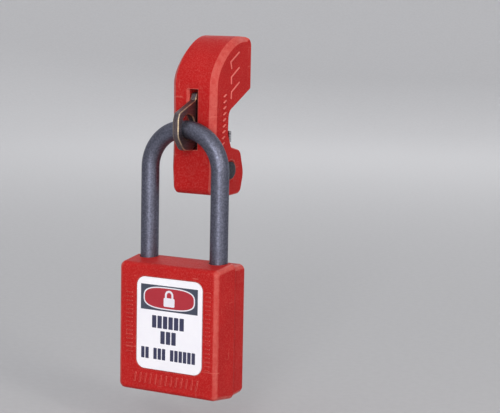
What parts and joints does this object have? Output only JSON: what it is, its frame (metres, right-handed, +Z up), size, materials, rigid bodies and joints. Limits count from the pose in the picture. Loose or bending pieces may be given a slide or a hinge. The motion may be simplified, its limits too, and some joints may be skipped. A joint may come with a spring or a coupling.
{
  "type": "circuit breaker lockout with padlock",
  "caption": "Clamp-on circuit breaker lockout with a steel hasp lever, locked by a safety padlock with a dark steel shackle.",
  "frame": {"origin": "middle of the jaw seat, the flat wall of the clamp's notch that bears on the front of the breaker's tie bar", "axes": "+Y towards the breaker, out of the jaw seat; +Z up; +X to the right of a person facing the breaker"},
  "size_m": [0.041, 0.0409, 0.125],
  "materials": {
    "housing_plastic": "satin moulded red",
    "shell_plastic": "semi-gloss moulded red",
    "lever_steel": "dark, worn, stamped plate",
    "dark_steel": "dark plated, mottled",
    "bright_steel": "bright, ground",
    "zinc_casting": "as cast",
    "brass": "machined",
    "label_film": "satin printed film"
  },
  "bodies": {
    "clamp": {"clamp_housing": "housing_plastic", "lever_pivot_pin": "dark_steel", "pin_retainer": "bright_steel"},
    "lever": {"hasp_lever": "lever_steel", "jaw_shoe": "bright_steel", "jaw_shoe_pin": "dark_steel"},
    "shackle": {"shackle": "dark_steel"},
    "padlock_body": {"front_shell": "shell_plastic", "back_shell": "shell_plastic", "face_label": "label_film", "lock_frame": "zinc_casting", "cylinder_sleeve": "brass", "chamber_cover": "brass", "shackle_spring": "bright_steel", "shackle_retaining_pin": "bright_steel", "driver_pin_1": "brass", "driver_pin_2": "brass", "driver_pin_3": "brass", "driver_pin_4": "brass", "driver_pin_5": "brass", "pin_spring_1": "bright_steel", "pin_spring_2": "bright_steel", "pin_spring_3": "bright_steel", "pin_spring_4": "bright_steel", "pin_spring_5": "bright_steel"},
    "plug": {"cylinder_plug": "brass", "plug_cam": "zinc_casting", "key_pin_1": "brass", "key_pin_2": "brass", "key_pin_3": "brass", "key_pin_4": "brass", "key_pin_5": "brass"},
    "dog_heel": {"locking_dog_heel": "bright_steel"},
    "dog_toe": {"locking_dog_toe": "bright_steel"}
  },
  "joints": [
    {"name": "lever_pivot", "type": "hinge", "parent": "clamp", "child": "lever", "pos_m": [0, 0.0033, -0.0161], "axis": [-1, 0, 0], "range_deg": [0, 3]},
    {"name": "padlock_swing", "type": "hinge", "parent": "lever", "child": "shackle", "pos_m": [0, -0.0147, -0.00095], "axis": [1, 0, 0], "range_deg": [-70, 10]},
    {"name": "shackle_pull", "type": "slide", "parent": "shackle", "child": "padlock_body", "axis": [0, 0, -1], "range_m": [0, 0.009]},
    {"name": "plug_turn", "type": "hinge", "parent": "padlock_body", "child": "plug", "pos_m": [0, -0.0147, -0.064], "axis": [0, 0, 1], "range_deg": [0, 90]},
    {"name": "dog_heel_slide", "type": "slide", "parent": "padlock_body", "child": "dog_heel", "axis": [1, 0, 0], "range_m": [0, 0.0018]},
    {"name": "dog_toe_slide", "type": "slide", "parent": "padlock_body", "child": "dog_toe", "axis": [-1, 0, 0], "range_m": [0, 0.0018]}
  ],
  "couplings": [
    {"joint": "plug_turn", "follows": "shackle_pull", "rad_per_m": 174.53},
    {"joint": "dog_heel_slide", "follows": "shackle_pull", "ratio": 0.2},
    {"joint": "dog_toe_slide", "follows": "shackle_pull", "ratio": 0.2}
  ]
}
